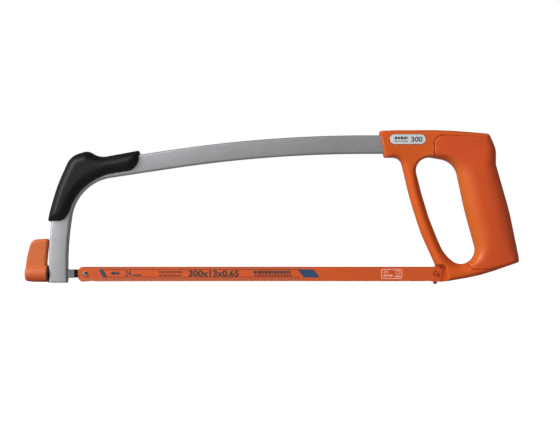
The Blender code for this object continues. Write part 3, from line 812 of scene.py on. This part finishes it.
def make_blade():
    loop = np.array(blade_outline())
    levels = [BLADE_Z0 + z for z in (1.2, 1.6, SET_HIGH, SET_HIGH + 1.2)]
    xs = np.arange(BLADE_X0 + 4.5, BLADE_X1 - 4.5, TOOTH_PITCH / 2)
    inner = np.array([(x, z) for z in levels for x in xs])
    flat, faces = triangulate(loop, [inner])
    swing = np.array([tooth_set(x, z) for x, z in flat])
    blade = new_object("saw_blade_skin", two_sheets(flat, faces, swing - BLADE_THICK, swing),
                       BLADE, 30)
    combine(blade, [rod("hole", (-3, 3), HOLE_R, (x, PULL_Z), 40, "y")
                    for x in (HOLE_FRONT, HOLE_REAR)])
    sharpen(blade, 30)
    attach(blade, "blade")
    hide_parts("saw_blade")


# ---------------------------------------------------------------- printed marks, thin plates
def bar(x0, z0, x1, z1, lean=0.0):
    """Four corners of a bar; lean moves its upper edge towards -X."""
    return [(x0, z0), (x1, z0), (x1 - lean, z1), (x0 - lean, z1)]


def dashes(x0, x1, z0, z1, widths, gap):
    """A row of bars that stands for a line of small print."""
    shapes, x, k = [], x0, 0
    while x < x1 - 0.3:
        end = min(x + widths[k % len(widths)], x1)
        shapes.append(bar(x, z0, end, z1))
        x, k = end + gap, k + 1
    return shapes


def ring(x0, z0, x1, z1, radius, line):
    """Rounded frame, as four bars and four quarter rings."""
    shapes = [bar(x0 + radius, z0, x1 - radius, z0 + line),
              bar(x0 + radius, z1 - line, x1 - radius, z1),
              bar(x0, z0 + radius, x0 + line, z1 - radius),
              bar(x1 - line, z0 + radius, x1, z1 - radius)]
    corners = ((x1 - radius, z1 - radius), (x0 + radius, z1 - radius),
               (x0 + radius, z0 + radius), (x1 - radius, z0 + radius))
    for n, (cx, cz) in enumerate(corners):
        outer = arc(cx, cz, radius, 90 * n, 6)
        inner = arc(cx, cz, radius - line, 90 * n, 6)
        for k in range(6):
            shapes.append([inner[k], outer[k], outer[k + 1], inner[k + 1]])
    return shapes


def digits(text, x, z, tall, wide=1.0, weight=0.0):
    """Outlines of plain figures, as a mesh lying in the X-Z plane; wide stretches them along X."""
    curve = bpy.data.curves.new("figures", "FONT")
    curve.body = text
    curve.size = tall / FIGURE_SHARE
    curve.offset = weight
    curve.resolution_u = 3
    obj = bpy.data.objects.new("figures", curve)
    bpy.context.scene.collection.objects.link(obj)
    mesh = bpy.data.meshes.new_from_object(obj.evaluated_get(bpy.context.evaluated_depsgraph_get()))
    bpy.data.objects.remove(obj, do_unlink=True)
    flat = [(x + v.co.x * wide, z + v.co.y) for v in mesh.vertices]
    return [[flat[i] for i in face.vertices] for face in mesh.polygons]


def print_marks(name, shapes, face_y, mat, body):
    """Joins flat shapes into one thin printed layer that stands just proud of a face."""
    bm = bmesh.new()
    for shape in shapes:
        near = [bm.verts.new(Vector((x, face_y - PRINT_THICK, z)) * MM) for x, z in shape]
        bm.faces.new(near)
    bmesh.ops.remove_doubles(bm, verts=bm.verts, dist=MERGE)
    grown = bmesh.ops.extrude_face_region(bm, geom=bm.faces[:])
    moved = [item for item in grown["geom"] if isinstance(item, bmesh.types.BMVert)]
    bmesh.ops.translate(bm, verts=moved, vec=(0, PRINT_THICK * 0.8 * MM, 0))
    layer = new_object(name, bm, mat, 30)
    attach(layer, body)


def make_blade_print():
    """The blade's marks: plain bars for small print and generic figures for its size."""
    face_y = -BLADE_THICK
    top, low, half = 12.7, 6.15, 0.25
    lines = [bar(-142.6, top - half, 24.4, top + half), bar(-140.6, low - half, 23.8, low + half)]
    lines += dashes(-96.4, -76.3, 9.7, 11.3, (1.5, 2.4, 1.1, 3.0), 0.4)
    lines += dashes(-96.4, -77.6, 6.9, 8.4, (2.2, 1.2, 2.8), 0.5)
    lines += dashes(-15.2, 18.2, 6.75, 8.1, (1.8, 2.6, 1.2, 3.1), 0.4)
    print_marks("blade_print_lines", lines, face_y, LINE_INK, "blade")

    dark = [bar(-144.2, 5.8, -140.4, 12.9, 3.6)]
    arrow = [bar(-135.2, 8.4, -130.0, 10.4), [(-138.0, 9.4), (-135.0, 7.4), (-135.0, 11.4)]]
    dark += arrow + digits("24", -125.4, 6.9, 5.2, 0.72, 0.15)
    dark += dashes(-118.6, -111.4, 7.0, 8.6, (2.1, 1.3, 2.6), 0.5)
    print_marks("blade_print_dark", dark, face_y, INK, "blade")

    words = digits("300x13x0.65", -71.2, 6.75, 5.2, 1.12, 0.27)
    words += dashes(-15.2, 16.2, 8.9, 11.7, (2.3, 0.9, 2.6, 2.0, 2.4), 0.5)
    print_marks("blade_print_words", words, face_y, WORD_INK, "blade")

    faint = [bar(-160, 14.45, 30, 14.75), bar(-148, 4.3, 30, 4.55)]
    faint += [bar(-152.0, 7.2, -151.5, 11.6), bar(-150.2, 7.2, -149.7, 11.6)]
    print_marks("blade_print_faint", faint, face_y, FAINT_INK, "blade")

    blue = [bar(27.4, 5.8, 41.0, 12.7, 5.0)]
    print_marks("blade_print_blue", blue, face_y, BLUE_INK, "blade")

    pale = ring(93.6, 4.6, 111.7, 13.2, 2.0, 0.75)
    pale += digits("24", 95.6, 9.4, 2.6, 1.1, 0.06)
    pale += dashes(95.6, 104.2, 6.7, 8.2, (2.4, 1.5, 3.0), 0.5)
    pale += ring(106.2, 8.4, 110.0, 12.2, 1.9, 0.6)
    pale += [bar(105.6, 6.2, 110.2, 7.3)]
    print_marks("blade_print_pale", pale, face_y, PALE_INK, "blade")


def make_badge_print():
    """The badge's marks: rows of bars and a generic figure."""
    face_y = -SOCKET_HALF - BADGE_PROUD
    dark = dashes(104.4, 115.2, 123.3, 125.6, (2.1, 1.6, 2.3, 1.9), 0.55)
    print_marks("badge_print_dark", dark, face_y, INK, "frame")
    grey = dashes(104.0, 115.6, 121.4, 122.1, (3.1, 1.8), 0.5)
    grey += digits("300", 118.0, 121.3, 4.3, 1.05, 0.15)
    print_marks("badge_print_grey", grey, face_y, GREY_INK, "frame")


make_tube()
make_front_grip()
make_knob()
make_handle()
dress_cad_pieces()
make_blade()
make_blade_print()
make_badge_print()


# ---------------------------------------------------------------- stage, light and camera
# lengths are in metres from here on
FLOOR_GREY, FLOOR_GLOW, FLOOR_SIZE, FLOOR_DROP = 0.5, 0.9, 30.0, 0.0004
# surroundings: strength at either end of a direction's range, and the range
ENV_SIDE = (1.15, 0.68, -0.9, 0.7)                # left and right
ENV_DEPTH = (0.54, 0.25, -0.6, 0.6)               # in front and behind, as a share
ENV_ABOVE = (1.0, 0.45, 0.35, 1.0)                # level and overhead, as a share
LIGHTS = (
    ("key", (-1.15, -0.95, 0.75), (0, 0, 0.06), (0.9, 1.2), 31),
    ("top", (-0.1, -0.75, 1.1), (0, 0, 0.06), (1.2, 0.5), 1),
)
CAMERA_X, CAMERA_Z, CAMERA_AWAY, VIEW_WIDE = 0.0072, 0.0627, 0.85, 0.4794
SENSOR_WIDE = 36.0


def make_floor():
    bm = bmesh.new()
    bmesh.ops.create_grid(bm, x_segments=8, y_segments=8, size=FLOOR_SIZE)
    floor = new_object("floor", bm, None, 0)
    mat, tree, shader = node_material("studio_floor")
    shader.inputs["Base Color"].default_value = (FLOOR_GREY, FLOOR_GREY, FLOOR_GREY, 1)
    shader.inputs["Roughness"].default_value = 0.9
    shader.inputs["Specular IOR Level"].default_value = 0.0
    shader.inputs["Emission Color"].default_value = (1, 1, 1, 1)
    path = tree.nodes.new("ShaderNodeLightPath")
    glow = remap(tree, path.outputs["Is Camera Ray"], 0.0, FLOOR_GLOW, 0, 1)
    tree.links.new(glow, shader.inputs["Emission Strength"])
    floor.data.materials.append(mat)
    floor.location.z = -FLOOR_DROP


def make_world():
    """White to the camera. As light it is strongest from the left and the front, at eye level."""
    world = bpy.data.worlds.new("studio")
    bpy.context.scene.world = world
    world.use_nodes = True
    tree = world.node_tree
    back = tree.nodes["Background"]
    back.inputs["Color"].default_value = (1, 1, 1, 1)
    way = components(tree, "Generated")
    side = remap(tree, way["X"], *ENV_SIDE)
    depth = remap(tree, way["Y"], *ENV_DEPTH)
    above = remap(tree, way["Z"], *ENV_ABOVE)
    light = math_node(tree, "MULTIPLY", math_node(tree, "MULTIPLY", side, depth), above)
    path = tree.nodes.new("ShaderNodeLightPath")
    shown = tree.nodes.new("ShaderNodeMix")
    shown.data_type = "FLOAT"
    tree.links.new(path.outputs["Is Camera Ray"], shown.inputs["Factor"])
    tree.links.new(light, shown.inputs["A"])
    shown.inputs["B"].default_value = 1.0
    tree.links.new(shown.outputs["Result"], back.inputs["Strength"])


def make_lights():
    for name, place, aim, size, power in LIGHTS:
        lamp = bpy.data.lights.new(name, "AREA")
        lamp.shape = "RECTANGLE"
        lamp.size, lamp.size_y = size
        lamp.energy = power
        holder = bpy.data.objects.new(name, lamp)
        holder.location = place
        holder.rotation_euler = (Vector(aim) - Vector(place)).to_track_quat("-Z", "Y").to_euler()
        bpy.context.scene.collection.objects.link(holder)


def make_camera():
    lens = bpy.data.cameras.new("camera")
    lens.sensor_width = SENSOR_WIDE
    lens.lens = SENSOR_WIDE * CAMERA_AWAY / VIEW_WIDE
    camera = bpy.data.objects.new("camera", lens)
    camera.location = (CAMERA_X, -CAMERA_AWAY, CAMERA_Z)
    camera.rotation_euler = (math.radians(90), 0, 0)
    bpy.context.scene.collection.objects.link(camera)
    bpy.context.scene.camera = camera
    bpy.context.scene.view_settings.view_transform = "Standard"
    bpy.context.scene.view_settings.look = "None"


make_floor()
make_world()
make_lights()
make_camera()
